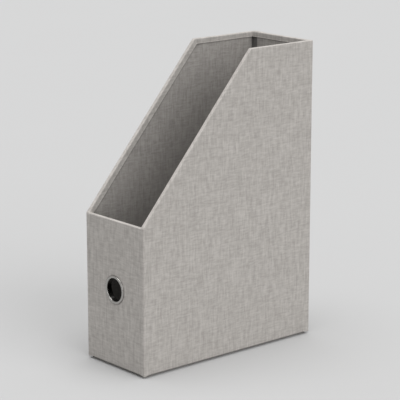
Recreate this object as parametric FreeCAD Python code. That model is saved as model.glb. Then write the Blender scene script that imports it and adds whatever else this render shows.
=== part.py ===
import FreeCAD, Part
import math
import os

os.makedirs("parts", exist_ok=True)

# Magazine file box: a carcass of grey board, taped at its edges, wrapped in linen cloth and lined,
# with a metal finger ring in the front. All sizes are in millimetres.
# X runs across the box, Y from its front to its back and Z up. The origin is the middle of the
# base, on the table.

# Finished size of the box
box_width = 93.0
box_depth = 232.0
box_height = 323.0
front_height = 157.0
flat_top_depth = 88.0

# Thickness of each sheet that the box is built from
board_thickness = 3.0
base_board_thickness = 3.0
cloth_thickness = 0.5
lining_thickness = 0.5
tape_thickness = 0.15
base_cover_thickness = 3.0

# How the cloth is folded round the boards, and how far the sheets keep from their neighbours
board_edge_radius = 0.55
hem_width = 5.3
turn_in_width = 15.0
seam_lap = 12.0
seam_setback = 4.0
base_cover_inset = 3.5
side_lining_gap = 2.5
end_lining_gap = 7.0
base_lining_gap = 1.3

# Paper tape on the edges of the boards, and in the corners inside
tape_leg = 14.0
tape_rim_gap = 8.0
tape_end_gap = 1.0
inner_tape_leg = 10.0
inner_tape_rim_gap = 3.0

# Finger ring, set through the front wall
ring_height = 84.0
ring_bore_radius = 12.0
ring_metal = 0.5
ring_flange_width = 3.0
ring_clinch_width = 2.5
ring_clearance = 0.2
washer_width = 3.0
washer_thickness = 0.5

# Depths into a wall, from the outer face of the cloth. The cloth is drawn down on the tape and on
# the board beside it, so it lies flat outside.
tape_face = cloth_thickness
board_face = tape_face + tape_thickness
lining_back = board_face + board_thickness
lining_face = lining_back + lining_thickness
hem_face = lining_face + cloth_thickness

# Heights above the table
cloth_bottom = base_cover_thickness
tape_bottom = cloth_bottom + cloth_thickness
board_bottom = tape_bottom + tape_thickness
base_board_top = board_bottom + base_board_thickness
floor_top = base_board_top + lining_thickness

# The sloping rim
slope = (box_height - front_height) / (box_depth - flat_top_depth)
slope_stretch = math.hypot(1.0, slope)

# The finger ring's barrel and what it passes through
barrel_radius = ring_bore_radius + ring_metal
hole_radius = barrel_radius + ring_clearance
barrel_length = lining_face + washer_thickness


def half_width(inset):
    """Half of the box's width, taken in by inset at each side."""
    return box_width / 2 - inset


def half_depth(inset):
    """Half of the box's depth, taken in by inset at each end."""
    return box_depth / 2 - inset


def slope_height(y, drop):
    """Height of the sloping rim at y, lowered by drop square to the slope."""
    return front_height + slope * (y + half_depth(0.0)) - drop * slope_stretch


def slope_end(drop):
    """Where the sloping rim, lowered by drop, meets the level rim lowered as much."""
    rise = box_height - drop - slope_height(0.0, drop)
    return rise / slope


def block(low, high):
    """A plain block between its lowest and its highest corner."""
    size = [b - a for a, b in zip(low, high)]
    return Part.makeBox(size[0], size[1], size[2], FreeCAD.Vector(*low))


def upright_block(inset, low, high):
    """The box's plan taken in by inset, from height low to high, with rounded upright edges."""
    across = half_width(inset)
    along = half_depth(inset)
    solid = block((-across, -along, low), (across, along, high))
    radius = board_edge_radius + board_face - inset
    if radius > 0.0:
        upright = [edge for edge in solid.Edges if abs(edge.tangentAt(0.0).z) > 0.5]
        solid = solid.makeFillet(radius, upright)
    return solid


def rim_line(front, back, drop):
    """The side's rim from y = front to y = back, lowered by drop, as points (y, z)."""
    top = box_height - drop
    return [(front, slope_height(front, drop)), (slope_end(drop), top), (back, top)]


def side_plate(x_low, x_high, outline):
    """A plate across X, whose outline is a list of points (y, z)."""
    points = [FreeCAD.Vector(x_low, y, z) for y, z in outline]
    face = Part.Face(Part.makePolygon(points + points[:1]))
    return face.extrude(FreeCAD.Vector(x_high - x_low, 0, 0))


def side_wall(outer, inner, ends, bottom, drop):
    """A layer of the left wall between two depths, stopping short of the box's ends."""
    front = -half_depth(ends)
    back = half_depth(ends)
    outline = [(front, bottom)] + rim_line(front, back, drop) + [(back, bottom)]
    return side_plate(-half_width(outer), -half_width(inner), outline)


def front_wall(outer, inner, sides, bottom, top):
    """A layer of the front wall between two depths, stopping short of the box's sides."""
    across = half_width(sides)
    return block((-across, -half_depth(outer), bottom), (across, -half_depth(inner), top))


def back_wall(outer, inner, sides, bottom, top):
    """A layer of the back wall between two depths, stopping short of the box's sides."""
    across = half_width(sides)
    return block((-across, half_depth(inner), bottom), (across, half_depth(outer), top))


def level_sheet(inset, bottom, top):
    """A level sheet of the base, taken in by inset all round."""
    across = half_width(inset)
    along = half_depth(inset)
    return block((-across, -along, bottom), (across, along, top))


def mirrored(solid):
    """The same piece for the right side of the box."""
    return solid.mirror(FreeCAD.Vector(0, 0, 0), FreeCAD.Vector(1, 0, 0))


def ring_hole():
    """What the hole for the finger ring takes out of the front wall and the washer."""
    start = FreeCAD.Vector(0, -half_depth(0.0), ring_height)
    return Part.makeCylinder(hole_radius, barrel_length, start, FreeCAD.Vector(0, 1, 0))


def corner_strip(sheet, reach, x_sign, y_sign):
    """What a sheet round the walls has within reach of one upright edge of the box."""
    near = (half_width(reach), half_depth(reach))
    far = (half_width(0.0), half_depth(0.0))
    xs = sorted((x_sign * near[0], x_sign * far[0]))
    ys = sorted((y_sign * near[1], y_sign * far[1]))
    return sheet.common(block((xs[0], ys[0], 0.0), (xs[1], ys[1], box_height)))


def corner_tape(x_sign, y_sign, top):
    """A strip of tape folded round an upright edge of the boards."""
    sheet = upright_block(tape_face, board_bottom, top)
    sheet = sheet.cut(upright_block(board_face, board_bottom, top))
    return corner_strip(sheet, tape_face + tape_leg, x_sign, y_sign)


def inner_tape(x_sign, y_sign, top):
    """A strip of tape folded into an upright corner of the boards, inside."""
    sheet = level_sheet(lining_back, base_board_top, top)
    sheet = sheet.cut(level_sheet(lining_back + tape_thickness, base_board_top, top))
    return corner_strip(sheet, lining_back + inner_tape_leg, x_sign, y_sign)


def base_tape_strip(length):
    """A strip of tape along +Y, folded round the lower edge of a wall that faces -X."""
    half = length / 2
    sheet = block((0, -half, 0), (tape_leg, half, tape_leg))
    inside = block((tape_thickness, -half, tape_thickness), (tape_leg, half, tape_leg))
    return sheet.cut(inside)


def base_tape(angle, reach, length):
    """The strip of tape under one wall, turned about Z from the left side and set at its reach."""
    strip = base_tape_strip(length)
    strip.translate(FreeCAD.Vector(-reach, 0, tape_bottom))
    strip.rotate(FreeCAD.Vector(0, 0, 0), FreeCAD.Vector(0, 0, 1), angle)
    return strip


def tapes():
    """Every strip of tape by name: four up the corners and four round the base."""
    front_top = front_height - tape_rim_gap
    back_top = box_height - tape_rim_gap
    side_length = 2 * (half_depth(tape_face) - tape_leg - tape_end_gap)
    end_length = 2 * (half_width(tape_face) - tape_leg - tape_end_gap)
    return {
        "front_left_tape": corner_tape(-1, -1, front_top),
        "front_right_tape": corner_tape(1, -1, front_top),
        "back_left_tape": corner_tape(-1, 1, back_top),
        "back_right_tape": corner_tape(1, 1, back_top),
        "base_left_tape": base_tape(0, half_width(tape_face), side_length),
        "base_front_tape": base_tape(90, half_depth(tape_face), end_length),
        "base_right_tape": base_tape(180, half_width(tape_face), side_length),
        "base_back_tape": base_tape(270, half_depth(tape_face), end_length),
    }


def inner_tapes():
    """The four strips of tape in the upright corners inside, by name."""
    front_top = front_height - inner_tape_rim_gap
    back_top = box_height - inner_tape_rim_gap
    return {
        "front_left_inner_tape": inner_tape(-1, -1, front_top),
        "front_right_inner_tape": inner_tape(1, -1, front_top),
        "back_left_inner_tape": inner_tape(-1, 1, back_top),
        "back_right_inner_tape": inner_tape(1, 1, back_top),
    }


def boards():
    """The five grey boards by name: the sides take the whole depth, with rounded upright edges."""
    side = side_wall(board_face, lining_back, board_face, board_bottom, cloth_thickness)
    side = side.common(upright_block(board_face, board_bottom, box_height))
    front_rim = front_height - cloth_thickness
    back_rim = box_height - cloth_thickness
    front = front_wall(board_face, lining_back, lining_back, board_bottom, front_rim)
    return {
        "left_board": side,
        "right_board": mirrored(side),
        "front_board": front.cut(ring_hole()),
        "back_board": back_wall(board_face, lining_back, lining_back, board_bottom, back_rim),
        "base_board": level_sheet(lining_back, board_bottom, base_board_top),
    }


def linings(covered):
    """The five sheets that line the inside, by name, laid over the tapes in the corners."""
    side_end = lining_back + side_lining_gap
    end_side = lining_back + end_lining_gap
    front_rim = front_height - cloth_thickness
    back_rim = box_height - cloth_thickness
    side = side_wall(lining_back, lining_face, side_end, base_board_top, cloth_thickness)
    front = front_wall(lining_back, lining_face, end_side, base_board_top, front_rim)
    back = back_wall(lining_back, lining_face, end_side, base_board_top, back_rim)
    return {
        "left_lining": side.cut(covered),
        "right_lining": mirrored(side).cut(covered),
        "front_lining": front.cut(covered + [ring_hole()]),
        "back_lining": back.cut(covered),
        "base_lining": level_sheet(lining_back + base_lining_gap, base_board_top, floor_top),
    }


def walls_to_lining():
    """The four walls as one solid, out to the cloth's face and in to the back of the lining."""
    outline = side_wall(0.0, box_width, 0.0, cloth_bottom, 0.0)
    walls = outline.common(upright_block(0.0, cloth_bottom, box_height))
    walls = walls.cut(level_sheet(lining_back, cloth_bottom, box_height))
    above_front = front_wall(0.0, lining_back, lining_back, front_height, box_height)
    return walls.cut(above_front)


def hem():
    """The cloth turned over the rim and down the inside of all four walls, linings and all."""
    front = -half_depth(0.0)
    back = half_depth(lining_back)
    lower = rim_line(front, back, hem_width)
    outline = rim_line(front, back, 0.0) + lower[::-1]
    side = side_plate(-half_width(lining_back), -half_width(hem_face), outline)
    front_low = front_height - hem_width
    back_low = box_height - hem_width
    return [
        side,
        mirrored(side),
        front_wall(lining_back, hem_face, lining_back, front_low, front_height),
        back_wall(lining_back, hem_face, lining_back, back_low, box_height),
    ]


def turn_in():
    """The cloth turned under the base, all round."""
    sheet = upright_block(0.0, cloth_bottom, board_bottom)
    return sheet.cut(level_sheet(turn_in_width, cloth_bottom, board_bottom))


def seam():
    """The end of the cloth, lapped over its beginning on the back, near the left edge."""
    left = -half_width(0.0) + seam_setback
    back = half_depth(0.0)
    return block((left, back, cloth_bottom), (left + seam_lap, back + cloth_thickness, box_height))


def outer_cloth(covered):
    """The one piece of cloth round the walls, with its hem, turn-in and seam."""
    skin = walls_to_lining().fuse(hem() + [turn_in(), seam()])
    return skin.cut(covered + [ring_hole()]).removeSplitter()


def half_roll(start, width, metal, side):
    """Edges of metal rolled outwards over half a turn, as points and arcs in (radius, depth)."""
    middle = start + width / 2
    outer = width / 2
    inner = outer - metal
    outside = [(middle - outer, 0.0), (middle, side * outer), (middle + outer, 0.0)]
    inside = [(middle + inner, 0.0), (middle, side * inner), (middle - inner, 0.0)]
    return outside, inside


def finger_ring():
    """The ring's barrel, with a rolled flange outside and a rolled edge on the washer inside."""
    front = -half_depth(0.0)

    def place(points, depth):
        return [FreeCAD.Vector(r, front + depth + s, ring_height) for r, s in points]

    flange = half_roll(ring_bore_radius, ring_flange_width, ring_metal, -1)
    clinch = half_roll(ring_bore_radius, ring_clinch_width, ring_metal, 1)
    flange_out, flange_in = [place(points, 0.0) for points in flange]
    clinch_out, clinch_in = [place(points, barrel_length) for points in clinch]
    edges = [
        Part.Arc(*flange_out).toShape(),
        Part.LineSegment(flange_out[2], flange_in[0]).toShape(),
        Part.Arc(*flange_in).toShape(),
        Part.LineSegment(flange_in[2], clinch_in[2]).toShape(),
        Part.Arc(*clinch_in).toShape(),
        Part.LineSegment(clinch_in[0], clinch_out[2]).toShape(),
        Part.Arc(*clinch_out).toShape(),
        Part.LineSegment(clinch_out[0], flange_out[0]).toShape(),
    ]
    profile = Part.Face(Part.Wire(edges))
    return profile.revolve(FreeCAD.Vector(0, 0, ring_height), FreeCAD.Vector(0, 1, 0), 360)


def ring_washer():
    """The flat washer between the lining and the ring's rolled edge."""
    start = FreeCAD.Vector(0, -half_depth(lining_face), ring_height)
    inwards = FreeCAD.Vector(0, 1, 0)
    disc = Part.makeCylinder(hole_radius + washer_width, washer_thickness, start, inwards)
    return disc.cut(ring_hole())


def all_pieces():
    """Every piece of the box by name."""
    strips = tapes()
    inner_strips = inner_tapes()
    pieces = {**boards(), **strips, **inner_strips, **linings(list(inner_strips.values()))}
    infill = level_sheet(turn_in_width, cloth_bottom, board_bottom)
    pieces["outer_cloth"] = outer_cloth(list(pieces.values()))
    pieces["base_infill"] = infill.cut(list(strips.values()))
    pieces["base_cover"] = level_sheet(base_cover_inset, 0.0, base_cover_thickness)
    pieces["finger_ring"] = finger_ring()
    pieces["ring_washer"] = ring_washer()
    return pieces


for name, shape in all_pieces().items():
    shape.exportStep("parts/" + name + ".step")
    print(name, "solids", len(shape.Solids), "valid", shape.isValid(), "volume", round(shape.Volume, 2))
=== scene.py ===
# %% [markdown]
# Magazine file box, dressed.
# The real object is a box of grey board wrapped in linen cloth, lined with the same cloth, with a
# metal finger ring in its low front. The boards, tapes and cards inside it come from the packed
# model and are only given a finish here. What the eye meets is built again as real meshes: the
# wrap of cloth with its folds, the lining sheets, the finger ring and the paper under the base.
# All sizes are in metres, +Z is up, and the low front faces -Y.

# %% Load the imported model
import math

import bmesh
import bpy
from mathutils import Matrix, Vector, noise


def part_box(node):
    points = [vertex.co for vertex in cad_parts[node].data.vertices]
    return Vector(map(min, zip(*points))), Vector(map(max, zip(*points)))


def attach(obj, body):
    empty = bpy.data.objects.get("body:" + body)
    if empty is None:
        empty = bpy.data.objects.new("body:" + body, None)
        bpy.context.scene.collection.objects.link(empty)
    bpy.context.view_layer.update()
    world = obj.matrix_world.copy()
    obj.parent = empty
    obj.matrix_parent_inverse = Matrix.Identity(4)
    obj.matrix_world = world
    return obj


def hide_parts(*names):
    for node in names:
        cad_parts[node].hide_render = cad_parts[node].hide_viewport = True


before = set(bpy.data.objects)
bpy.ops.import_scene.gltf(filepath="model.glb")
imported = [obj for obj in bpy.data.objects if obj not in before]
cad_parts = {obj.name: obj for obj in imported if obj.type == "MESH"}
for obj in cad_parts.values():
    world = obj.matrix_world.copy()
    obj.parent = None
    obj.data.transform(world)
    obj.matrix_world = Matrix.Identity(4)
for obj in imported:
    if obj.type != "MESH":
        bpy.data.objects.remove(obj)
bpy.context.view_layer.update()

# %% [markdown]
# The sizes of the cloth could be typed in again, but then they could drift away from the boards.
# Instead they are read from the boards that the cloth is glued to, and only the thickness of the
# cloth and the width of the hem are given as numbers of their own. Two points that are closer than
# a hundredth of a millimetre count as the same place. X, Y and Z are the numbers of the axes.

# %% Sizes of the wrap, read from the pieces under it
X, Y, Z = range(3)
MM = 0.001
CLOTH = 0.5 * MM
HEM = 5.3 * MM
SAME_PLACE = 0.01 * MM

corner_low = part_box("front_left_tape")[0]
HALF_WIDTH = CLOTH - corner_low.x
HALF_DEPTH = CLOTH - corner_low.y
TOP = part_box("left_board")[1].z + CLOTH
FRONT_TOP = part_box("front_board")[1].z + CLOTH
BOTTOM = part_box("outer_cloth")[0].z
LINING_FACE = HALF_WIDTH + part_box("left_lining")[1].x
WALL = LINING_FACE + CLOTH
TURN_LOW, TURN_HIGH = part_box("base_infill")

rim_points = [v.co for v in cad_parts["outer_cloth"].data.vertices if v.co.z > TOP - SAME_PLACE]
BEND = min(p.y for p in rim_points)
SLOPE = (TOP - FRONT_TOP) / (BEND + HALF_DEPTH)
STRETCH = math.hypot(1.0, SLOPE)
print("half width", round(HALF_WIDTH, 5), "half depth", round(HALF_DEPTH, 5), "wall", round(WALL, 5))
print("top", round(TOP, 4), "front top", round(FRONT_TOP, 4), "bend", round(BEND, 4))


# %% [markdown]
# The rim of a side wall climbs from the low front to a bend and then runs level to the back. Two
# small functions describe it, so that the hem and the linings can follow the same line lower down.
# A drop is measured square to the rim, as one would measure a hem with a ruler.

# %% The line of the side rims
def slope_height(y, drop=0.0):
    """Height of the sloping rim at y, lowered by drop square to the slope."""
    return FRONT_TOP + SLOPE * (y + HALF_DEPTH) - drop * STRETCH


def bend_at(drop):
    """Where the sloping rim, lowered by drop, meets the level rim lowered as much."""
    return (TOP - drop - slope_height(0.0, drop)) / SLOPE


print("rim slopes at", round(math.degrees(math.atan(SLOPE)), 1), "degrees")

# %% [markdown]
# The wrap is one sheet of cloth. It starts under the base, climbs the outside of the walls, folds
# over the rim and ends as a hem inside. The open surface that the eye sees is laid out here as
# flat faces, like a paper model, each from a list of its corner points.

# %% Faces of a side wall
def side_faces(side):
    """The faces of one side wall: outside, rim, the step at the front corner, hem and turn-in."""
    out, inside, turn = side * HALF_WIDTH, side * (HALF_WIDTH - WALL), side * TURN_HIGH.x
    front, back = -HALF_DEPTH, HALF_DEPTH
    front_in, back_in = front + WALL, back - WALL
    start = (inside, front_in, slope_height(front_in))
    hem_start = (inside, front_in, slope_height(front_in, HEM))
    return [
        [(out, front, BOTTOM), (out, back, BOTTOM), (out, back, TOP), (out, BEND, TOP),
         (out, front, FRONT_TOP)],
        [(out, front, FRONT_TOP), (out, BEND, TOP), (inside, BEND, TOP), start,
         (inside, front, FRONT_TOP)],
        [(out, BEND, TOP), (out, back, TOP), (inside, back_in, TOP), (inside, BEND, TOP)],
        [(inside, front, FRONT_TOP), start, (inside, front_in, FRONT_TOP)],
        [(inside, front_in, FRONT_TOP), start, (inside, BEND, TOP), (inside, back_in, TOP),
         (inside, back_in, TOP - HEM), (inside, bend_at(HEM), TOP - HEM), hem_start],
        [(out, front, BOTTOM), (out, back, BOTTOM), (turn, TURN_HIGH.y, BOTTOM),
         (turn, TURN_LOW.y, BOTTOM)],
    ]


print("a side wall has", len(side_faces(1)), "faces")

# %% [markdown]
# The front and the back are listed in the same way. The side rims run out over the ends of the
# front wall, so the front's outside has the feet of those rims among its corners.

# %% Faces of an end wall
def end_faces(end, top):
    """The faces of the front or the back wall: outside, rim, hem and turn-in."""
    out, inside, turn = HALF_WIDTH, HALF_WIDTH - WALL, TURN_HIGH.x
    face, face_in = end * HALF_DEPTH, end * (HALF_DEPTH - WALL)
    turn_y = end * TURN_HIGH.y
    across = inside if end < 0 else out
    rim = [(-across, face, top), (across, face, top)]
    feet = [(out, face, top), *rim[::-1], (-out, face, top)] if end < 0 else rim[::-1]
    hem = [(-inside, face_in, top), (inside, face_in, top), (inside, face_in, top - HEM),
           (-inside, face_in, top - HEM)]
    if end < 0:
        side_hem = slope_height(face_in, HEM)
        hem.insert(2, (inside, face_in, side_hem))
        hem.append((-inside, face_in, side_hem))
    return [
        [(-out, face, BOTTOM), (out, face, BOTTOM), *feet],
        [*rim, (inside, face_in, top), (-inside, face_in, top)],
        hem,
        [(-out, face, BOTTOM), (out, face, BOTTOM), (turn, turn_y, BOTTOM), (-turn, turn_y, BOTTOM)],
    ]


print("an end wall has", len(end_faces(1, TOP)), "faces")

# %% [markdown]
# Corner points that fall on the same place become one vertex, so neighbouring faces share their
# edges. The sheet has no thickness yet: that comes later, in one step.

# %% One sheet from all the faces
def sheet_from(faces):
    """An open mesh of flat faces that share the vertices they have in common, facing outwards."""
    bm = bmesh.new()
    found = {}
    for points in faces:
        corners = []
        for point in points:
            key = tuple(round(c / SAME_PLACE) for c in point)
            if key not in found:
                found[key] = bm.verts.new(point)
            corners.append(found[key])
        bm.faces.new(corners)
    bmesh.ops.recalc_face_normals(bm, faces=bm.faces[:])
    lowest = min(bm.faces, key=lambda f: f.calc_center_median().z)
    if lowest.normal.z > 0:
        bmesh.ops.reverse_faces(bm, faces=bm.faces[:])
    return bm


wrap = sheet_from(side_faces(-1) + side_faces(1) + end_faces(-1, FRONT_TOP) + end_faces(1, TOP))
print("wrap starts as", len(wrap.faces), "flat faces")


# %% [markdown]
# Cloth drawn over a board edge turns on a small radius. A bevel on every convex edge gives that
# fold. The inner corners stay crisp, because there the cloth is pushed in with a bone folder.

# %% Folds of the cloth
FOLD_RADIUS = 1.1 * MM
FOLD_STEPS = 4
FLAT_ENOUGH = math.radians(20)


def convex_edges(bm):
    """The edges where the surface turns away from the viewer."""
    return [e for e in bm.edges if len(e.link_faces) == 2 and e.calc_face_angle_signed() > FLAT_ENOUGH]


def round_edges(bm, radius, steps):
    """Rounds the convex edges of bm."""
    bmesh.ops.bevel(bm, geom=convex_edges(bm), offset=radius, segments=steps, profile=0.5,
                    affect="EDGES", clamp_overlap=True)


round_edges(wrap, FOLD_RADIUS, FOLD_STEPS)
print("folded wrap has", len(wrap.faces), "faces")


# %% [markdown]
# A flat face with four corners can't swell or ripple. Cutting it by parallel planes gives it a
# grid of vertices that can move. Planes are simpler than subdividing here, because the side walls
# aren't rectangles and the cuts still line up from face to face.

# %% A grid of vertices over the cloth
GRID = 5.0 * MM
SNAP = 0.15 * MM


def cut_by_plane(bm, axis, place, snap=SNAP):
    """Cuts all of bm where one coordinate has the value place."""
    normal = Vector([1.0 if k == axis else 0.0 for k in range(3)])
    parts = bm.verts[:] + bm.edges[:] + bm.faces[:]
    bmesh.ops.bisect_plane(bm, geom=parts, dist=snap, plane_co=normal * place, plane_no=normal)


def cut_to_grid(bm, step):
    """Cuts bm by planes a step apart along X, Y and Z."""
    for axis in range(3):
        places = [v.co[axis] for v in bm.verts]
        low, high = min(places), max(places)
        count = round((high - low) / step)
        for k in range(1, count):
            cut_by_plane(bm, axis, low + (high - low) * k / count)


cut_to_grid(wrap, GRID)
print("gridded wrap has", len(wrap.faces), "faces")


# %% [markdown]
# One more row of vertices follows the lower edge of the hem, where the cloth will stand up as a
# small lip. Two cuts close together make the sharp cut edge of the seam on the back.

# %% Extra cuts at the hem and the seam
SEAM_EDGE = -HALF_WIDTH + 4.0 * MM
SEAM_LAP = 12.0 * MM
SEAM_CUT = 0.08 * MM
LIP_WIDTH = 1.2 * MM
NEARLY_SQUARE = 0.9


def is_hem(face, inner, axis):
    """Whether a face lies on the inside of the walls that face along an axis."""
    place = abs(face.calc_center_median()[axis])
    return abs(place - inner) < SNAP and abs(face.normal[axis]) > NEARLY_SQUARE


def cut_hem_row(bm):
    """Adds a row of vertices just above the hem's lower edge."""
    drop = HEM - LIP_WIDTH
    slant = Vector((0.0, -SLOPE, 1.0)).normalized()
    rows = [
        (X, HALF_WIDTH - WALL, Vector((0.0, 0.0, TOP - drop)), Vector((0.0, 0.0, 1.0))),
        (X, HALF_WIDTH - WALL, Vector((0.0, 0.0, slope_height(0.0, drop))), slant),
        (Y, HALF_DEPTH - WALL, Vector((0.0, 0.0, TOP - drop)), Vector((0.0, 0.0, 1.0))),
        (Y, HALF_DEPTH - WALL, Vector((0.0, 0.0, FRONT_TOP - drop)), Vector((0.0, 0.0, 1.0))),
    ]
    for axis, inner, place, normal in rows:
        faces = [f for f in bm.faces if is_hem(f, inner, axis)]
        edges = {e for f in faces for e in f.edges}
        verts = {v for f in faces for v in f.verts}
        parts = [*verts, *edges, *faces]
        bmesh.ops.bisect_plane(bm, geom=parts, dist=SAME_PLACE, plane_co=place, plane_no=normal)


cut_hem_row(wrap)
cut_by_plane(wrap, X, SEAM_EDGE, SAME_PLACE)
cut_by_plane(wrap, X, SEAM_EDGE + SEAM_CUT, SAME_PLACE)
print("with its extra cuts it has", len(wrap.faces), "faces")


# %% [markdown]
# The weave has to follow the cloth round every fold, so each point gets the place that it had on
# the flat sheet before it was glued on. Round the walls that place runs along the perimeter, from
# the middle of the front both ways to the seam on the back.

# %% Places along the flat sheet
def wall_of(x, y):
    """The wall that a point belongs to, which is the one whose outside is nearest."""
    if HALF_WIDTH - abs(x) < HALF_DEPTH - abs(y):
        return "right" if x > 0 else "left"
    return "back" if y > 0 else "front"


def along_sheet(wall, x, y, seam_side):
    """How far along the sheet a point lies, from the middle of the front."""
    if wall == "front":
        return x
    if wall == "right":
        return HALF_WIDTH + (y + HALF_DEPTH)
    if wall == "left":
        return -HALF_WIDTH - (y + HALF_DEPTH)
    half_way = 2 * HALF_WIDTH + 2 * HALF_DEPTH
    return -half_way - x if seam_side else half_way - x


print("way round the walls", round(4 * (HALF_WIDTH + HALF_DEPTH), 4), "m")

# %% [markdown]
# Up a wall, the place on the flat sheet is simply the height. Over the rim it runs on, square to
# the rim, and on the hem it comes back down the other side: that is why the threads of a hem on a
# sloping rim lie at an angle to the threads of the wall below it.

# %% Places up the wall and over the rim
def rim_over(wall, y, z):
    """How far a point lies under its rim, and the way across that rim in (along, up)."""
    if wall == "front":
        return FRONT_TOP - z, (0.0, 1.0)
    if wall == "back":
        return TOP - z, (0.0, 1.0)
    under_level = TOP - z
    under_slope = (slope_height(y) - z) / STRETCH
    if under_level <= under_slope:
        return under_level, (0.0, 1.0)
    turn = -1.0 if wall == "right" else 1.0
    return under_slope, (turn * SLOPE / STRETCH, 1.0 / STRETCH)


def flat_place(point, wall, depth, seam_side):
    """Where a point of the wrap lay on the flat sheet."""
    x, y, z = point
    along = along_sheet(wall, x, y, seam_side)
    depth = min(max(depth, 0.0), WALL)
    if z < BOTTOM + FOLD_RADIUS:
        return along, z - depth
    under, across = rim_over(wall, y, z)
    past = depth if depth < WALL / 2 else depth + 2 * max(under, 0.0)
    return along + across[0] * past, z + across[1] * past


def rim_distance(point):
    """How far down from the rim a point is."""
    x, y, z = point
    under, _ = rim_over(wall_of(x, y), y, z)
    return max(under, 0.0)


print("over the rim and down the hem", round((WALL + HEM) / MM, 2), "mm")

# %% [markdown]
# Both places go into a UV map, which holds a pair of numbers for each corner of each face. A second
# map holds how far down from the rim that corner is, and the materials use it to put marks on the
# rim and under the hem.

# %% The places as UV maps
def lay_out_wrap(bm):
    """Writes the flat places into a UV map called cloth, and the distance to the rim into folds."""
    uv = bm.loops.layers.uv.new("cloth")
    folds = bm.loops.layers.uv.new("folds")
    for face in bm.faces:
        centre = face.calc_center_median()
        wall = wall_of(centre.x, centre.y)
        seam_side = centre.x < SEAM_EDGE
        for loop in face.loops:
            x, y, _ = loop.vert.co
            ends = HALF_DEPTH - abs(y)
            depth = ends if wall in ("front", "back") else HALF_WIDTH - abs(x)
            loop[uv].uv = flat_place(loop.vert.co, wall, depth, seam_side)
            loop[folds].uv = (rim_distance(loop.vert.co), 0.0)


lay_out_wrap(wrap)
span = [[loop[wrap.loops.layers.uv["cloth"]].uv[k] for f in wrap.faces for loop in f.loops] for k in (0, 1)]
print("flat sheet", [round(max(s) - min(s), 4) for s in span])


# %% [markdown]
# Glued cloth isn't perfectly flat. It is laid double where its end laps over its start on the
# back. Under each corner it is gathered into a small pleat, so it hangs a little lower there. The
# cut edge of the hem stands up as a lip. Each of these is a small function that says how far a
# vertex moves, with a smooth step so that nothing starts or ends suddenly.

# %% The seam's lap, the pleats and the lip
HEM_LIP = 0.4 * MM
LIP_START = 1.0 * MM
BACK_REACH = 1.2 * WALL
LAP_FADE_START, LAP_FADE_END = -1.0 * MM, 4.0 * MM
PLEAT_DROP = 1.3 * MM
PLEAT_FULL = 1.5 * MM
PLEAT_REACH = 7.5 * MM
PLEAT_HEIGHT = 5.0 * MM


def ease(value, start, end):
    """A smooth step from 0 at start to 1 at end."""
    t = min(max((value - start) / (end - start), 0.0), 1.0)
    return t * t * (3 - 2 * t)


def seam_lift(point):
    """How far the cloth's lapped end stands off at a point of the back wall."""
    if point.y < HALF_DEPTH - BACK_REACH or point.x < SEAM_EDGE + SEAM_CUT / 2:
        return 0.0
    end = SEAM_EDGE + SEAM_LAP
    return CLOTH * (1 - ease(point.x, end + LAP_FADE_START, end + LAP_FADE_END))


def pleat_drop(point):
    """How far a pleat presses the cloth down near a lower corner."""
    from_corner = math.hypot(HALF_WIDTH - abs(point.x), HALF_DEPTH - abs(point.y))
    near = 1 - ease(from_corner, PLEAT_FULL, PLEAT_REACH)
    low = 1 - ease(point.z, BOTTOM + FOLD_RADIUS, BOTTOM + PLEAT_HEIGHT)
    return PLEAT_DROP * near * low


def lip_height(point):
    """How far the hem's lower edge stands off, which is nothing in the corners of the box."""
    from_side = abs(HALF_WIDTH - WALL - abs(point.x))
    from_end = abs(HALF_DEPTH - WALL - abs(point.y))
    return HEM_LIP * ease(max(from_side, from_end), LIP_START, LIP_START + GRID)


print("a pleat hangs", round(pleat_drop(Vector((HALF_WIDTH, HALF_DEPTH, BOTTOM))) / MM, 2), "mm lower")

# %% [markdown]
# The cloth also follows the board's faint hollows, and the edge of the hem wanders a little. Perlin
# noise gives both, and it is the same on every run. All the moves are worked out before the first
# vertex moves, so that no move changes the next.

# %% The cloth settles
SWELL = 0.12 * MM
SWELL_SIZE = 45.0 * MM
HEM_WANDER = 0.25 * MM
HEM_WAVE = 28.0 * MM
HEM_DRAW = Vector((3.0, 7.0, 1.0))


def settle_cloth(bm):
    """Moves the vertices of the wrap the way glue and hands leave real cloth."""
    bm.normal_update()
    moves = []
    for v in bm.verts:
        swell = SWELL * noise.noise(v.co / SWELL_SIZE) * ease(v.co.z, BOTTOM, BOTTOM + GRID)
        move = v.normal * (swell + seam_lift(v.co))
        move.z -= pleat_drop(v.co)
        if v.is_boundary and v.co.z > BOTTOM + HEM:
            move += v.normal * lip_height(v.co)
            move.z += HEM_WANDER * noise.noise(v.co / HEM_WAVE + HEM_DRAW)
        moves.append(move)
    for v, move in zip(bm.verts, moves):
        v.co += move


settle_cloth(wrap)
print("lowest point of the wrap", round(min(v.co.z for v in wrap.verts) / MM, 2), "mm")


# %% [markdown]
# Every piece that is built here becomes an object in the same few steps, so a few helpers do them: they
# make the mesh, shade it smooth except where it turns sharply, let it ride on the box and hide the nodes of
# the imported model that it stands for. Weighted normals keep the flat parts looking flat right up to the
# small bevels.

# %% Helpers that turn a mesh into a piece
SHARP = math.radians(35)


def object_from(name, bm):
    """A new object in the scene with the mesh of bm."""
    mesh = bpy.data.meshes.new(name)
    bm.to_mesh(mesh)
    bm.free()
    piece = bpy.data.objects.new(name, mesh)
    bpy.context.scene.collection.objects.link(piece)
    return piece


def apply_modifiers(piece):
    """Turns the modifiers of a piece into mesh."""
    seen = piece.evaluated_get(bpy.context.evaluated_depsgraph_get())
    mesh = bpy.data.meshes.new_from_object(seen)
    piece.modifiers.clear()
    piece.data = mesh


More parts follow.
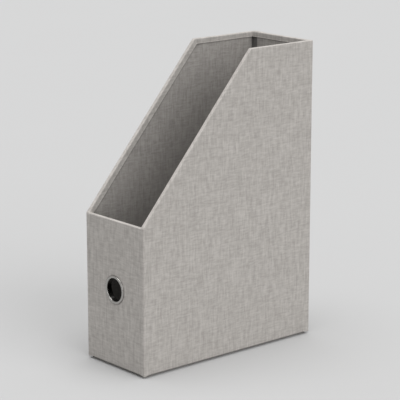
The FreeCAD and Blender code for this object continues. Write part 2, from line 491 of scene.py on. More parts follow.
def shade(piece):
    """Smooth shading with sharp creases, weighted by the size of the faces."""
    piece.data.shade_smooth()
    piece.data.set_sharp_from_angle(angle=SHARP)
    weighted = piece.modifiers.new("weighted", "WEIGHTED_NORMAL")
    weighted.keep_sharp = True


def join_box(piece, slot, *nodes):
    """Lets a piece ride on the box and hides the nodes that it stands for. The slot is not used."""
    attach(piece, "root")
    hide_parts(*nodes)


# %% [markdown]
# A solidify modifier gives the sheet the thickness of cloth, inwards, so its outside stays where
# it was measured. Then the hole for the finger ring is cut with a boolean, which is quicker than
# planning a hole into the grid, and its edge is hidden by the ring's flange anyway.

# %% Thickness, and the hole for the ring
ring_low, ring_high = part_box("finger_ring")
RING_CENTRE = Vector((0.0, -HALF_DEPTH, (ring_low.z + ring_high.z) / 2))
RING_OUTER = (ring_high.x - ring_low.x) / 2
HOLE_RADIUS = 12.7 * MM
HOLE_SIDES = 96
CUTTER_LENGTH = 6 * WALL


def cut_ring_hole(piece):
    """Cuts a round hole through the front part of a piece."""
    bm = bmesh.new()
    bmesh.ops.create_cone(bm, cap_ends=True, segments=HOLE_SIDES, radius1=HOLE_RADIUS,
                          radius2=HOLE_RADIUS, depth=CUTTER_LENGTH)
    bmesh.ops.rotate(bm, verts=bm.verts, matrix=Matrix.Rotation(math.pi / 2, 3, "X"))
    bmesh.ops.translate(bm, verts=bm.verts, vec=RING_CENTRE)
    cutter = object_from("hole_cutter", bm)
    boolean = piece.modifiers.new("hole", "BOOLEAN")
    boolean.object = cutter
    boolean.operation = "DIFFERENCE"
    boolean.solver = "EXACT"
    apply_modifiers(piece)
    bpy.data.objects.remove(cutter)


cover = object_from("linen_cover", wrap)
solidify = cover.modifiers.new("thickness", "SOLIDIFY")
solidify.thickness = CLOTH
solidify.offset = -1.0
solidify.use_even_offset = True
cut_ring_hole(cover)
shade(cover)
join_box(cover, "linen_cloth", "outer_cloth")
print("cover", len(cover.data.polygons), "faces")

# %% [markdown]


# %% [markdown]
# Each inside wall is lined with its own sheet. A lining is flat enough to be a thin slab: its
# outline is pushed out to the cloth's thickness, and it gets the same two UV maps as the wrap.

# %% Helpers for flat sheets
def slab(outline, axis, low, high):
    """A closed slab: an outline in the plane square to axis, from low to high along it."""
    others = [k for k in range(3) if k != axis]
    bm = bmesh.new()

    def ring_at(place):
        verts = []
        for a, b in outline:
            point = [0.0, 0.0, 0.0]
            point[axis], point[others[0]], point[others[1]] = place, a, b
            verts.append(bm.verts.new(point))
        return verts

    near, far = ring_at(low), ring_at(high)
    bm.faces.new(near)
    bm.faces.new(far)
    for k in range(len(outline)):
        nxt = (k + 1) % len(outline)
        bm.faces.new((near[k], near[nxt], far[nxt], far[k]))
    bmesh.ops.recalc_face_normals(bm, faces=bm.faces[:])
    return bm


def lay_flat(bm, axis):
    """Writes the places square to axis into cloth, and the distance below the hem into folds."""
    others = [k for k in range(3) if k != axis]
    uv = bm.loops.layers.uv.new("cloth")
    folds = bm.loops.layers.uv.new("folds")
    for face in bm.faces:
        for loop in face.loops:
            loop[uv].uv = [loop.vert.co[k] for k in others]
            loop[folds].uv = (rim_distance(loop.vert.co) - HEM, 0.0)


# %% [markdown]
# A side lining has the rim's slope and bend, and the others are rectangles. Their outlines are kept by a
# function of their own, because the area of a sheet can be worked out from them too.

# %% Outlines of the linings
def rectangle(low, high, axis):
    """The outline of a box seen along axis."""
    a, b = [k for k in range(3) if k != axis]
    return [(low[a], low[b]), (high[a], low[b]), (high[a], high[b]), (low[a], high[b])]


def side_outline(low, high):
    """The outline of a side lining, with the rim's slope and bend."""
    return [(low.y, low.z), (low.y, slope_height(low.y, CLOTH)), (bend_at(CLOTH), high.z),
            (high.y, high.z), (high.y, low.z)]


def outline_area(outline):
    """The area inside an outline, from the cross products of its corners."""
    after = outline[1:] + outline[:1]
    return abs(sum(a[0] * b[1] - b[0] * a[1] for a, b in zip(outline, after))) / 2


def lining_outline(node, axis):
    """The outline of a lining, in the plane square to axis."""
    low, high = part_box(node)
    return side_outline(low, high) if axis == X else rectangle(low, high, axis)


print("side lining", round(outline_area(lining_outline("left_lining", X)), 5), "m2")

# %% [markdown]
# Now the five sheets are made in one loop, from the axis that each faces along and the way it
# faces. The visible face of each swells as faintly as the wrap does, but only away from the board.

# %% Lining sheets
LINING_EDGE = 0.18 * MM
LINING_SWELL = 0.15 * MM
LINING_DRAW = Vector((11.0, 5.0, 2.0))
SLAB_EDGE_STEPS = 2
SLAB_GRID = 2 * GRID


def swell_off(bm, axis, facing, height):
    """Lets the visible face of a slab swell a little, away from what it is glued to."""
    face_place = max(v.co[axis] * facing for v in bm.verts)
    for v in bm.verts:
        if v.co[axis] * facing > face_place - LINING_EDGE / 2:
            wave = 0.5 + 0.5 * noise.noise(v.co / SWELL_SIZE + LINING_DRAW)
            v.co[axis] += facing * height * wave


def lining(node, axis, facing):
    """A lining sheet on the place of a node, with its visible face towards facing."""
    low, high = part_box(node)
    outline = lining_outline(node, axis)
    bm = slab(outline, axis, low[axis], high[axis])
    round_edges(bm, LINING_EDGE, SLAB_EDGE_STEPS)
    cut_to_grid(bm, SLAB_GRID)
    lay_flat(bm, axis)
    swell_off(bm, axis, facing, LINING_SWELL)
    return object_from(node + "_sheet", bm)


LINING_PLACES = {
    "left_lining": (X, 1),
    "right_lining": (X, -1),
    "front_lining": (Y, 1),
    "back_lining": (Y, -1),
    "base_lining": (Z, 1),
}
linings = {node: lining(node, *place) for node, place in LINING_PLACES.items()}
cut_ring_hole(linings["front_lining"])
for node, piece in linings.items():
    shade(piece)
    join_box(piece, "linen_lining", node)


# %% [markdown]
# The finger ring is an eyelet of thin nickel-plated metal: a barrel through the front wall, rolled
# over outside into a round flange and inside over a washer. Its section is a closed line made of
# half circles. A section that is worked out from radii stays round at any size, which a pasted list
# of points would not.

# %% Section of the finger ring
FLANGE_WIDTH = 3.0 * MM
CLINCH_WIDTH = 2.5 * MM
RING_METAL = 0.5 * MM
BORE = RING_OUTER - FLANGE_WIDTH
ARC_STEPS = 14


def half_circle(middle, place, radius, side, towards):
    """Points (radius, depth) over half a circle, from the bore outwards or back."""
    points = []
    for k in range(ARC_STEPS + 1):
        angle = math.pi * k / ARC_STEPS
        across = -math.cos(angle) * radius * towards
        points.append((middle + across, place + side * math.sin(angle) * radius))
    return points


def ring_section():
    """The closed section of the ring: flange, barrel and rolled edge."""
    depth = ring_high.y - RING_CENTRE.y - CLINCH_WIDTH / 2
    flange, clinch = BORE + FLANGE_WIDTH / 2, BORE + CLINCH_WIDTH / 2
    return (
        half_circle(flange, 0.0, FLANGE_WIDTH / 2, -1, 1)
        + half_circle(flange, 0.0, FLANGE_WIDTH / 2 - RING_METAL, -1, -1)
        + half_circle(clinch, depth, CLINCH_WIDTH / 2 - RING_METAL, 1, 1)
        + half_circle(clinch, depth, CLINCH_WIDTH / 2, 1, -1)
    )


print("section has", len(ring_section()), "points, bore radius", round(BORE / MM, 2), "mm")

# %% [markdown]
# Turning the section about the ring's axis gives the whole ring at once. It is a lathe's way of
# working, and it leaves a closed mesh without seams.

# %% The finger ring, turned
RING_SIDES = 128


def turned(section):
    """The solid that a closed section (radius, depth) makes when it turns about the ring's axis."""
    bm = bmesh.new()
    rings = []
    for k in range(RING_SIDES):
        angle = 2 * math.pi * k / RING_SIDES
        outwards = Vector((math.cos(angle), 0.0, math.sin(angle)))
        rings.append([bm.verts.new(RING_CENTRE + outwards * r + Vector((0.0, d, 0.0))) for r, d in section])
    for k, ring in enumerate(rings):
        after = rings[(k + 1) % RING_SIDES]
        for j in range(len(section)):
            nxt = (j + 1) % len(section)
            bm.faces.new((ring[j], ring[nxt], after[nxt], after[j]))
    bmesh.ops.recalc_face_normals(bm, faces=bm.faces[:])
    return bm


finger_ring = object_from("polished_ring", turned(ring_section()))
shade(finger_ring)
join_box(finger_ring, "ring_nickel", "finger_ring")
print("ring", len(finger_ring.data.polygons), "faces")

# %% [markdown]
# A thick sheet of dark paper board closes the underside. It is set in from the edges, so the cloth
# ends three millimetres above the table and the eye sees a thin dark line there. It is a slab like
# the linings, with its edges softened by handling.

# %% Paper under the base
PAPER_EDGE = 0.25 * MM

paper_low, paper_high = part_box("base_cover")
bm = slab(rectangle(paper_low, paper_high, Z), Z, paper_low.z, paper_high.z)
round_edges(bm, PAPER_EDGE, SLAB_EDGE_STEPS)
cut_to_grid(bm, SLAB_GRID)
lay_flat(bm, Z)
base_paper = object_from("base_paper_sheet", bm)
shade(base_paper)
join_box(base_paper, "base_paper", "base_cover")
print("base paper", len(base_paper.data.polygons), "faces")


# %% [markdown]
# Materials are written as small networks of nodes. A few helpers keep that readable: one makes a
# material with its shader, one fills a socket and one adds a node. The numbers that are the same
# all over a surface go straight onto the shader's own sockets.

# %% Helpers for materials
def new_material(name, roughness, **constants):
    """A material, its node tree and its main shader, with constants set on the shader."""
    material = bpy.data.materials.new(name)
    material.use_nodes = True
    tree = material.node_tree
    shader = tree.nodes["Principled BSDF"]
    shader.inputs["Roughness"].default_value = roughness
    for socket, value in constants.items():
        shader.inputs[socket.replace("_", " ")].default_value = value
    return material, tree, shader


def put(tree, socket, value):
    """Gives a socket a link or a plain value."""
    if isinstance(value, bpy.types.NodeSocket):
        tree.links.new(value, socket)
    else:
        socket.default_value = value


def add_node(tree, kind, inputs=None, **settings):
    """A new node with its settings and inputs."""
    node = tree.nodes.new(kind)
    for key, value in settings.items():
        setattr(node, key, value)
    for key, value in (inputs or {}).items():
        put(tree, node.inputs[key], value)
    return node


# %% [markdown]
# More helpers stand for the nodes that are used most: sums on values and on vectors, a mix of two
# values by their shares, a move from one range to another, and noise.

# %% Sums, ranges and noise
def calc(tree, operation, a, b=0.0, clamp=False):
    """The result of a sum on two values."""
    return add_node(tree, "ShaderNodeMath", {0: a, 1: b}, operation=operation, use_clamp=clamp).outputs[0]


def calc_vector(tree, operation, a, b):
    """The result of a sum on two vectors."""
    return add_node(tree, "ShaderNodeVectorMath", {0: a, 1: b}, operation=operation).outputs[0]


def weighed(tree, a, share_a, b, share_b):
    """Two values added up by their shares."""
    return calc(tree, "ADD", calc(tree, "MULTIPLY", a, share_a), calc(tree, "MULTIPLY", b, share_b))


def spread(tree, value, low, high, new_low, new_high, **settings):
    """A value moved from one range to another, and kept inside it."""
    inputs = {"Value": value, "From Min": low, "From Max": high, "To Min": new_low, "To Max": new_high}
    return add_node(tree, "ShaderNodeMapRange", inputs, **settings).outputs["Result"]


def grain(tree, place, scale, detail=2.0, offset=(0.0, 0.0, 0.0)):
    """Noise over places that are stretched by scale."""
    moved = calc_vector(tree, "ADD", calc_vector(tree, "MULTIPLY", place, scale), offset)
    inputs = {"Vector": moved, "Scale": 1.0, "Detail": detail}
    return add_node(tree, "ShaderNodeTexNoise", inputs).outputs["Fac"]


# %% [markdown]
# The last four helpers say where a point is on the object, blend two colours, dim a colour and give
# the shader a relief.

# %% Places, colours and relief
def object_place(tree):
    """The place of a point on the object, in metres."""
    return add_node(tree, "ShaderNodeTexCoord").outputs["Object"]


def blend(tree, share, dark, light):
    """A colour between a dark and a light one."""
    inputs = {"Factor": share, "A": (*dark, 1.0), "B": (*light, 1.0)}
    return add_node(tree, "ShaderNodeMix", inputs, data_type="RGBA").outputs["Result"]


def dimmed(tree, colour, share):
    """A colour times a share."""
    inputs = {0: colour, "Scale": share}
    return add_node(tree, "ShaderNodeVectorMath", inputs, operation="SCALE").outputs[0]


def raise_relief(tree, shader, height, depth, strength):
    """Lets a height, in shares of depth, tilt the light on a surface."""
    inputs = {"Height": height, "Distance": depth, "Strength": strength}
    bump = add_node(tree, "ShaderNodeBump", inputs)
    put(tree, shader.inputs["Normal"], bump.outputs["Normal"])


# %% [markdown]
# Linen yarn is uneven, so each thread gets its own shade that changes along it, and here and there
# a slub, a short thick place. Noise that is stretched along the threads gives both. The upright
# threads, the warp, show more and keep their shade longer than the level ones, the weft. That
# unevenness, not the single crossing, is what shows from a step away. Each noise is moved by an
# offset of its own, so that no two patterns are alike. On the flat sheet the weft runs along X and
# the warp along Y.

# %% Streaks and slubs along the threads
WARP_STREAK = (1.9 * MM, 12.0 * MM)
WARP_BROAD = (4.0 * MM, 34.0 * MM)
WEFT_STREAK = (1.6 * MM, 8.0 * MM)
WEFT_BROAD = (3.4 * MM, 20.0 * MM)
WARP_SLUB = (1.3 * MM, 9.0 * MM)
WEFT_SLUB = (1.3 * MM, 6.0 * MM)
FINE_SHARE = 0.65
BROAD_OFFSET = 5.0
SLUB_START, SLUB_FULL = 0.64, 0.76


def along_threads(tree, place, size, along, detail, offset):
    """Noise in patches of a size (across, along) that lie along one set of threads."""
    across, length = 1 / size[0], 1 / size[1]
    scale = (length, across, 1.0) if along == X else (across, length, 1.0)
    return grain(tree, place, scale, detail, (offset, offset, 0.0))


def thread_shade(tree, place, streak, broad, along, offset):
    """Streaks of shade along one set of threads, fine and broad ones, about 0.5."""
    narrow = along_threads(tree, place, streak, along, detail=2.0, offset=offset)
    wide = along_threads(tree, place, broad, along, detail=1.0, offset=offset + BROAD_OFFSET)
    return weighed(tree, narrow, FINE_SHARE, wide, 1 - FINE_SHARE)


def slubs(tree, place, size, along, offset):
    """Thick places in one set of threads: 0 almost everywhere, up to 1 in a slub."""
    value = along_threads(tree, place, size, along, detail=1.0, offset=offset)
    return spread(tree, value, SLUB_START, SLUB_FULL, 0.0, 1.0)


# %% [markdown]
# Linen is a plain weave: every thread goes over one crossing thread and under the next. In the
# flat places of the cloth, a sine across each set of threads gives their round backs, and the
# product of the two sines says which set is on top. The set that goes under sinks to about a third
# of its height. A little wobble keeps the threads from running dead straight.

# %% The relief of the weave
WARP_PITCH = 0.62 * MM
WEFT_PITCH = 0.68 * MM
CROSSING = 0.4
SUNK = 0.35
WOBBLE_SIZE = 6.0 * MM
WOBBLE_REACH = 0.9 * MM


def weave_height(tree, place):
    """The relief of the plain weave, from 0 between the threads to 1 on their backs."""
    split = add_node(tree, "ShaderNodeSeparateXYZ", {0: place})
    across_warp = calc(tree, "SINE", calc(tree, "MULTIPLY", split.outputs["X"], math.pi / WARP_PITCH))
    across_weft = calc(tree, "SINE", calc(tree, "MULTIPLY", split.outputs["Y"], math.pi / WEFT_PITCH))
    crossed = calc(tree, "MULTIPLY", across_warp, across_weft)
    on_top = spread(tree, crossed, -CROSSING, CROSSING, SUNK, 1.0)
    below = calc(tree, "SUBTRACT", 1 + SUNK, on_top)
    warp = calc(tree, "MULTIPLY", calc(tree, "ABSOLUTE", across_warp), on_top)
    weft = calc(tree, "MULTIPLY", calc(tree, "ABSOLUTE", across_weft), below)
    return calc(tree, "MAXIMUM", warp, weft)


def wobbled(tree, place):
    """Places pushed about a little, so that no thread runs dead straight."""
    inputs = {"Vector": place, "Scale": 1 / WOBBLE_SIZE, "Detail": 2.0}
    wobble = add_node(tree, "ShaderNodeTexNoise", inputs)
    centred = calc_vector(tree, "SUBTRACT", wobble.outputs["Color"], (0.5, 0.5, 0.5))
    drift = calc_vector(tree, "MULTIPLY", centred, (WOBBLE_REACH, WOBBLE_REACH, 0.0))
    return calc_vector(tree, "ADD", place, drift)


# %% [markdown]
# Both cloths carry marks. Outside, the cloth is paler on the rim: partly wear, where hands and papers pass
# over it, and partly a painted highlight, where the rim faces the light. A thin grey line round the ring is
# painted shadow where the flange meets the cloth. Inside, the lining just under the hem is darkened as
# painted shade under the hem's lip, and low on the walls the lining is darkened as painted shade, because
# the photograph shows nearly black through the ring. The sheet on the bottom keeps its own tone. The bands
# on the rim and under the hem follow the second UV map, which holds the distance to them in metres, so they
# keep their real width whatever the mesh is like. The other marks follow the place in the box.

# %% Marks on the cloths
RIM_BAND = 0.9 * MM
RIM_WEAR_AND_HIGHLIGHT = 1.18
RING_BAND = 1.1 * MM
RING_PAINTED_SHADOW = 0.62
HEM_BAND = 3.0 * MM
HEM_PAINTED_SHADE = 0.72
DEEP_LOW, DEEP_HIGH = 85.0 * MM, 125.0 * MM
DEEP_PAINTED_SHADE = 0.3
FOOT_LOW, FOOT_HIGH = 8.0 * MM, 20.0 * MM


def band(tree, width):
    """1 on the rim or at the hem, easing to 0 at width away from it, read from the second UV map."""
    place = add_node(tree, "ShaderNodeUVMap", uv_map="folds").outputs["UV"]
    distance = add_node(tree, "ShaderNodeSeparateXYZ", {0: place}).outputs["X"]
    return spread(tree, distance, 0.0, width, 1.0, 0.0, interpolation_type="SMOOTHSTEP")


def cover_marks(tree):
    """How the cover's tone changes: paler on the rim, partly wear and partly painted highlight, and darker
    in a thin line of painted shadow round the ring.
    """
    # Paler rim: partly wear, partly a painted highlight where the rim faces the light.
    rim_wear_and_highlight = spread(tree, band(tree, RIM_BAND), 0.0, 1.0, 1.0, RIM_WEAR_AND_HIGHLIGHT)
    # A thin painted shadow round the ring, where the flange meets the cloth.
    inputs = {0: object_place(tree), 1: RING_CENTRE}
    away = add_node(tree, "ShaderNodeVectorMath", inputs, operation="DISTANCE")
    ring_painted_shadow = spread(tree, away.outputs["Value"], RING_OUTER, RING_OUTER + RING_BAND, RING_PAINTED_SHADOW, 1.0)
    return calc(tree, "MULTIPLY", rim_wear_and_highlight, ring_painted_shadow)


def lining_marks(tree):
    """How the lining's tone changes: painted shade just under the hem and low on the walls."""
    # Painted shade just under the hem's lip.
    hem_painted_shade = spread(tree, band(tree, HEM_BAND), 0.0, 1.0, 1.0, HEM_PAINTED_SHADE)
    height = add_node(tree, "ShaderNodeSeparateXYZ", {0: object_place(tree)}).outputs["Z"]
    # Painted shade low on the walls. It fades out near the bottom, so the bottom sheet is not darkened.
    deep_painted_shade = spread(tree, height, DEEP_LOW, DEEP_HIGH, DEEP_PAINTED_SHADE, 1.0)
    foot = spread(tree, height, FOOT_LOW, FOOT_HIGH, 1.0, 0.0)
    return calc(tree, "MULTIPLY", hem_painted_shade, calc(tree, "MAXIMUM", deep_painted_shade, foot))


# %% [markdown]
# One function makes both cloths. The streaks and the slubs add up to a tone between the dark and the light
# shade of the yarn, and the backs of the threads are made lighter than the hollows between them, which is
# painted shade in the weave. The marks then change that tone. The same three raise the relief. Linen is
# matt, with a little sheen from its loose fibres. The lining is the same cloth given a darker yarn, as the
# photograph shows it; this is painted shade for the inside of the box.

# %% Linen
COVER_YARN = (0.33, 0.310, 0.290), (0.505, 0.480, 0.453)
# The lining's yarn is darker than the cover's as painted shade for the inside of the box.
SHADED_LINING_YARN = (0.272, 0.256, 0.240), (0.423, 0.402, 0.380)
LINEN_ROUGHNESS = 0.88
LINEN_GLOSS = {"Specular_IOR_Level": 0.22, "Sheen_Weight": 0.12, "Sheen_Roughness": 0.5}
WARP_SHARE = 0.54
STREAK_LOW, STREAK_HIGH = 0.40, 0.60
STREAK_TONE, SLUB_TONE, WEAVE_PAINTED_SHADE = 0.74, 0.2, 0.16
YARN_RELIEF = 0.8
WEAVE_RELIEF = 0.09 * MM
WEAVE_BUMP = 0.6
WEFT_OFFSET, WARP_SLUB_OFFSET, WEFT_SLUB_OFFSET, LINING_OFFSET = 17.0, 31.0, 47.0, 91.0


def linen(name, yarn, offset, marks):
    """Linen between a dark and a light shade of its yarn, changed by its marks."""
    material, tree, shader = new_material(name, LINEN_ROUGHNESS, **LINEN_GLOSS)
    place = wobbled(tree, add_node(tree, "ShaderNodeUVMap", uv_map="cloth").outputs["UV"])
    height = weave_height(tree, place)
    warp_shade = thread_shade(tree, place, WARP_STREAK, WARP_BROAD, Y, offset)
    weft_shade = thread_shade(tree, place, WEFT_STREAK, WEFT_BROAD, X, offset + WEFT_OFFSET)
    warp_slubs = slubs(tree, place, WARP_SLUB, Y, offset + WARP_SLUB_OFFSET)
    weft_slubs = slubs(tree, place, WEFT_SLUB, X, offset + WEFT_SLUB_OFFSET)
    thick = calc(tree, "MAXIMUM", warp_slubs, weft_slubs)

    streaks = weighed(tree, warp_shade, WARP_SHARE, weft_shade, 1 - WARP_SHARE)
    tone = spread(tree, streaks, STREAK_LOW, STREAK_HIGH, 0.0, 1.0)
    tone = weighed(tree, tone, STREAK_TONE, thick, SLUB_TONE)
    # The backs of the threads are lighter than the hollows between them: painted shade in the weave.
    tone = calc(tree, "ADD", tone, calc(tree, "MULTIPLY", height, WEAVE_PAINTED_SHADE), clamp=True)
    marked = dimmed(tree, blend(tree, tone, *yarn), marks(tree))
    put(tree, shader.inputs["Base Color"], marked)

    relief = calc(tree, "ADD", height, calc(tree, "MULTIPLY", thick, YARN_RELIEF))
    relief = calc(tree, "ADD", relief, calc(tree, "MULTIPLY", streaks, YARN_RELIEF))
    raise_relief(tree, shader, relief, WEAVE_RELIEF, WEAVE_BUMP)
    return material


cover_linen = linen("cover linen", COVER_YARN, 0.0, cover_marks)
lining_linen = linen("lining linen", SHADED_LINING_YARN, LINING_OFFSET, lining_marks)
cover.data.materials.append(cover_linen)
for piece in linings.values():
    piece.data.materials.append(lining_linen)
print("linen has", len(cover_linen.node_tree.nodes), "nodes")


# %% [markdown]
# The nickel of the ring is polished, so most of its look is what it reflects. Only very fine
# polishing marks and a faint unevenness in its gloss are added. The same function serves the washer
# behind it, which is plain zinc plate, duller and more mottled.

# %% Plated metal
GLOSS_LOW, GLOSS_HIGH = 0.3, 0.7
DULL_SHARE = 0.25
SCRATCH_SIZE = (0.4 * MM, 0.4 * MM, 3.0 * MM)
SCRATCH_DEPTH = 0.004 * MM
SCRATCH_BUMP = 0.4


def metal(name, colour, roughness, mottle_size, mottle):
    """Plated metal whose gloss varies a little from place to place."""
    material, tree, shader = new_material(name, roughness, Metallic=1.0)
    place = object_place(tree)
    patches = grain(tree, place, (1 / mottle_size,) * 3, detail=3.0)
    smooth, rough = roughness * (1 - mottle), roughness * (1 + mottle)
    gloss = spread(tree, patches, GLOSS_LOW, GLOSS_HIGH, smooth, rough)
    put(tree, shader.inputs["Roughness"], gloss)
    dull = tuple(c * (1 - DULL_SHARE * mottle) for c in colour)
    put(tree, shader.inputs["Base Color"], blend(tree, patches, dull, colour))
    scratches = grain(tree, place, tuple(1 / size for size in SCRATCH_SIZE), detail=4.0)
    raise_relief(tree, shader, scratches, SCRATCH_DEPTH, SCRATCH_BUMP)
    return material


# %% [markdown]
# The photograph shows the hole nearly black, so painted shade darkens the metal inside the barrel. The
# painted shade starts at the face of the cloth, so the flange in front of it stays bright.

# %% Painted shade in the ring's barrel
BORE_PAINTED_SHADE = 0.14
BORE_BRIGHT, BORE_DARK = -0.6 * MM, 0.4 * MM


def darken_bore(material):
    """Paints shade onto the metal inside the ring's barrel, behind the bright flange."""
    tree = material.node_tree
    shader = tree.nodes["Principled BSDF"]
    depth = add_node(tree, "ShaderNodeSeparateXYZ", {0: object_place(tree)}).outputs["Y"]
    # Painted shade: the metal is darkened from the face of the cloth inwards.
    inside = spread(tree, depth, RING_CENTRE.y + BORE_BRIGHT, RING_CENTRE.y + BORE_DARK, 1.0, BORE_PAINTED_SHADE)
    plain = shader.inputs["Base Color"].links[0].from_socket
    put(tree, shader.inputs["Base Color"], dimmed(tree, plain, inside))
    return material


nickel = metal("polished nickel", (0.42, 0.408, 0.39), roughness=0.22, mottle_size=4.0 * MM, mottle=0.3)
finger_ring.data.materials.append(darken_bore(nickel))
print("ring is dark from", round(BORE_DARK / MM, 1), "mm behind the face of the cloth")


# %% [markdown]
# Paper, card and board are pressed fibres. One network makes them all: a cloudy shade from the
# pulp, short dark and light fibres, and a soft relief.

# %% Pressed fibres
CLOUD_SIZE = 12.0 * MM
FIBRE_FLATNESS = 3
FIBRE_DRAW = (5.0, 2.0, 9.0)
PULP_LOW, PULP_HIGH = 0.35, 0.65
PULP_RELIEF = 0.05 * MM
PULP_BUMP = 0.5


def pulp(name, colour, contrast, fibre, roughness=0.9):
    """Pressed fibres: cloudy shade, fine flecks of a fibre's length and a soft relief."""
    material, tree, shader = new_material(name, roughness, Specular_IOR_Level=0.25)
    place = object_place(tree)
    clouds = grain(tree, place, (1 / CLOUD_SIZE,) * 3, detail=4.0)
    fleck_scale = (1 / fibre, 1 / fibre, FIBRE_FLATNESS / fibre)
    flecks = grain(tree, place, fleck_scale, detail=5.0, offset=FIBRE_DRAW)
    tone = weighed(tree, clouds, 0.5, flecks, 0.5)
    tone = spread(tree, tone, PULP_LOW, PULP_HIGH, 0.0, 1.0)
    dark = tuple(c * (1 - contrast) for c in colour)
    light = tuple(min(c * (1 + contrast), 1.0) for c in colour)
    put(tree, shader.inputs["Base Color"], blend(tree, tone, dark, light))
    raise_relief(tree, shader, flecks, PULP_RELIEF, PULP_BUMP)
    return material


# %% [markdown]
# The pieces that come from the imported model get their finish by the ending of their names. The tape of
# the inner corners follows the brown tape, because its name ends in the same way, and it is made near black
# as painted shade for the deep inner corners.

# %% Finishes of paper, board and zinc
def finish_nodes(material, ending):
    """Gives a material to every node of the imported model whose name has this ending."""
    for name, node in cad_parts.items():
        if name.endswith(ending):
            node.data.materials.clear()
            node.data.materials.append(material)


dark_paper = pulp("dark cover paper", (0.24, 0.232, 0.224), contrast=0.12, fibre=0.5 * MM)
grey_board = pulp("grey board", (0.36, 0.345, 0.32), contrast=0.16, fibre=0.8 * MM)
brown_tape = pulp("kraft tape", (0.42, 0.29, 0.17), contrast=0.12, fibre=0.6 * MM, roughness=0.6)
# Near black as painted shade for the deep inner corners.
inner_tape_painted_shade = pulp("corner tape painted as shade", (0.14, 0.135, 0.13), contrast=0.12, fibre=0.6 * MM)
infill_card = pulp("infill card", (0.50, 0.47, 0.42), contrast=0.10, fibre=0.7 * MM)
zinc = metal("zinc plate", (0.62, 0.63, 0.65), roughness=0.35, mottle_size=2.0 * MM, mottle=0.35)

base_paper.data.materials.append(dark_paper)
finish_nodes(grey_board, "_board")
finish_nodes(brown_tape, "_tape")
finish_nodes(inner_tape_painted_shade, "_inner_tape")
finish_nodes(infill_card, "base_infill")
finish_nodes(zinc, "ring_washer")
print("materials", sorted(m.name for m in bpy.data.materials if m.users))

# %% [markdown]
# The box stands on a plain pale floor that runs on to the edge of the picture. The floor is a wide
# disc, so no wall or horizon shows from the camera. It carries a very faint mottle, as painted
# board does.

# %% Floor
FLOOR_RADIUS = 12.0
FLOOR_SIDES = 96
FLOOR_COLOUR = (0.531, 0.532, 0.533)
FLOOR_PATCHES = 4.0
FLOOR_MOTTLE = 0.005


def floor_disc():
    """A wide round floor at height 0."""
    bm = bmesh.new()
    bmesh.ops.create_circle(bm, cap_ends=True, segments=FLOOR_SIDES, radius=FLOOR_RADIUS)
    floor = object_from("floor", bm)
    material, tree, shader = new_material("pale floor", roughness=0.95, Specular_IOR_Level=0.0)
    place = object_place(tree)
    mottle = grain(tree, place, (FLOOR_PATCHES,) * 3, detail=3.0)
    low = tuple(c * (1 - FLOOR_MOTTLE) for c in FLOOR_COLOUR)
    high = tuple(c * (1 + FLOOR_MOTTLE) for c in FLOOR_COLOUR)
    put(tree, shader.inputs["Base Color"], blend(tree, mottle, low, high))
    floor.data.materials.append(material)
    return floor


floor_disc()
print("floor reaches", FLOOR_RADIUS, "m each way")


# %% [markdown]
# The studio has a soft light overhead and another low on the right, and the pale room fills the
# rest. The overhead light reaches the rims and the floor but leaves the bottom of the box dim. The
# low one makes the right side lighter than the front. A sun lamp with a wide angle acts like a very
# large softbox that is equally bright everywhere, so the floor doesn't fade towards its edges.

# %% Light
ROOM_LIGHT = 0.655
BACKGROUND = 0.60
SIDE_TOWARDS = Vector((0.85, 0.07, 0.52))
SIDE_STRENGTH = 1.04
OVERHEAD_TOWARDS = Vector((0.0, 0.0, 1.0))
OVERHEAD_STRENGTH = 1.44
SOFT_ANGLE = math.radians(50)


def sun(name, towards, strength, angle):
    """A lamp that shines from a direction, with the angle that its source fills in the sky."""
    lamp = bpy.data.lights.new(name, "SUN")
    lamp.energy = strength
    lamp.angle = angle
    holder = bpy.data.objects.new(name, lamp)
    holder.rotation_euler = towards.to_track_quat("Z", "Y").to_euler()
    bpy.context.scene.collection.objects.link(holder)


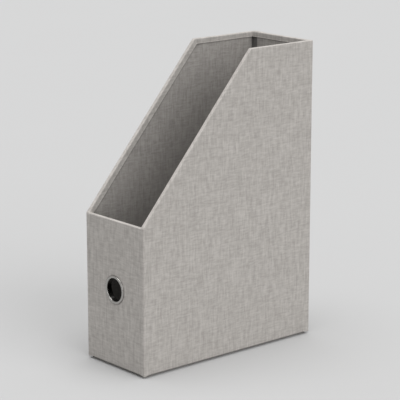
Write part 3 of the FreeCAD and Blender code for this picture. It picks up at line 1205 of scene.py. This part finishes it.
def room():
    """The light of the room, which shows as a plain pale background behind the box."""
    world = bpy.data.worlds.new("pale room")
    world.use_nodes = True
    bpy.context.scene.world = world
    tree = world.node_tree
    tree.nodes.clear()
    rays = add_node(tree, "ShaderNodeLightPath")
    seen = calc(tree, "MAXIMUM", rays.outputs["Is Camera Ray"], rays.outputs["Is Glossy Ray"])
    seen = calc(tree, "MAXIMUM", seen, rays.outputs["Is Transmission Ray"])
    strength = spread(tree, seen, 0.0, 1.0, ROOM_LIGHT, BACKGROUND)
    back = add_node(tree, "ShaderNodeBackground", {"Color": (1.0, 1.0, 1.0, 1.0), "Strength": strength})
    out = add_node(tree, "ShaderNodeOutputWorld")
    tree.links.new(back.outputs[0], out.inputs["Surface"])


room()
sun("side light", SIDE_TOWARDS, SIDE_STRENGTH, SOFT_ANGLE)
sun("overhead light", OVERHEAD_TOWARDS, OVERHEAD_STRENGTH, SOFT_ANGLE)
print("side light stands", round(math.degrees(math.asin(SIDE_TOWARDS.normalized().z))), "degrees high")

# %% [markdown]
# The camera stands where the photograph was taken from. Its place and its long lens were worked
# out from the edges of the box in the photograph. Two angles give its direction: the turn round
# the box and the height above the horizon. The uprights of the box stand straight in the picture,
# so the camera isn't rolled.

# %% Camera
CAMERA_PLACE = Vector((1.3623, -1.1796, 0.6008))
CAMERA_TURN = math.radians(49.1378)
CAMERA_RISE = math.radians(13.7511)
LENS = 158.82
SENSOR = 36.0


def camera_axes():
    """The camera's own right, up and back directions."""
    turn, rise = CAMERA_TURN, CAMERA_RISE
    back = Vector((math.sin(turn) * math.cos(rise), -math.cos(turn) * math.cos(rise), math.sin(rise)))
    right = Vector((math.cos(turn), math.sin(turn), 0.0))
    return right, back.cross(right), back


camera = bpy.data.objects.new("camera", bpy.data.cameras.new("camera"))
camera.data.lens = LENS
camera.data.sensor_width = SENSOR
camera.matrix_world = Matrix.Translation(CAMERA_PLACE) @ Matrix(camera_axes()).transposed().to_4x4()
bpy.context.scene.collection.objects.link(camera)
bpy.context.scene.camera = camera
bpy.context.scene.view_settings.view_transform = "Standard"
print("camera is", round(CAMERA_PLACE.length, 2), "m from the box")
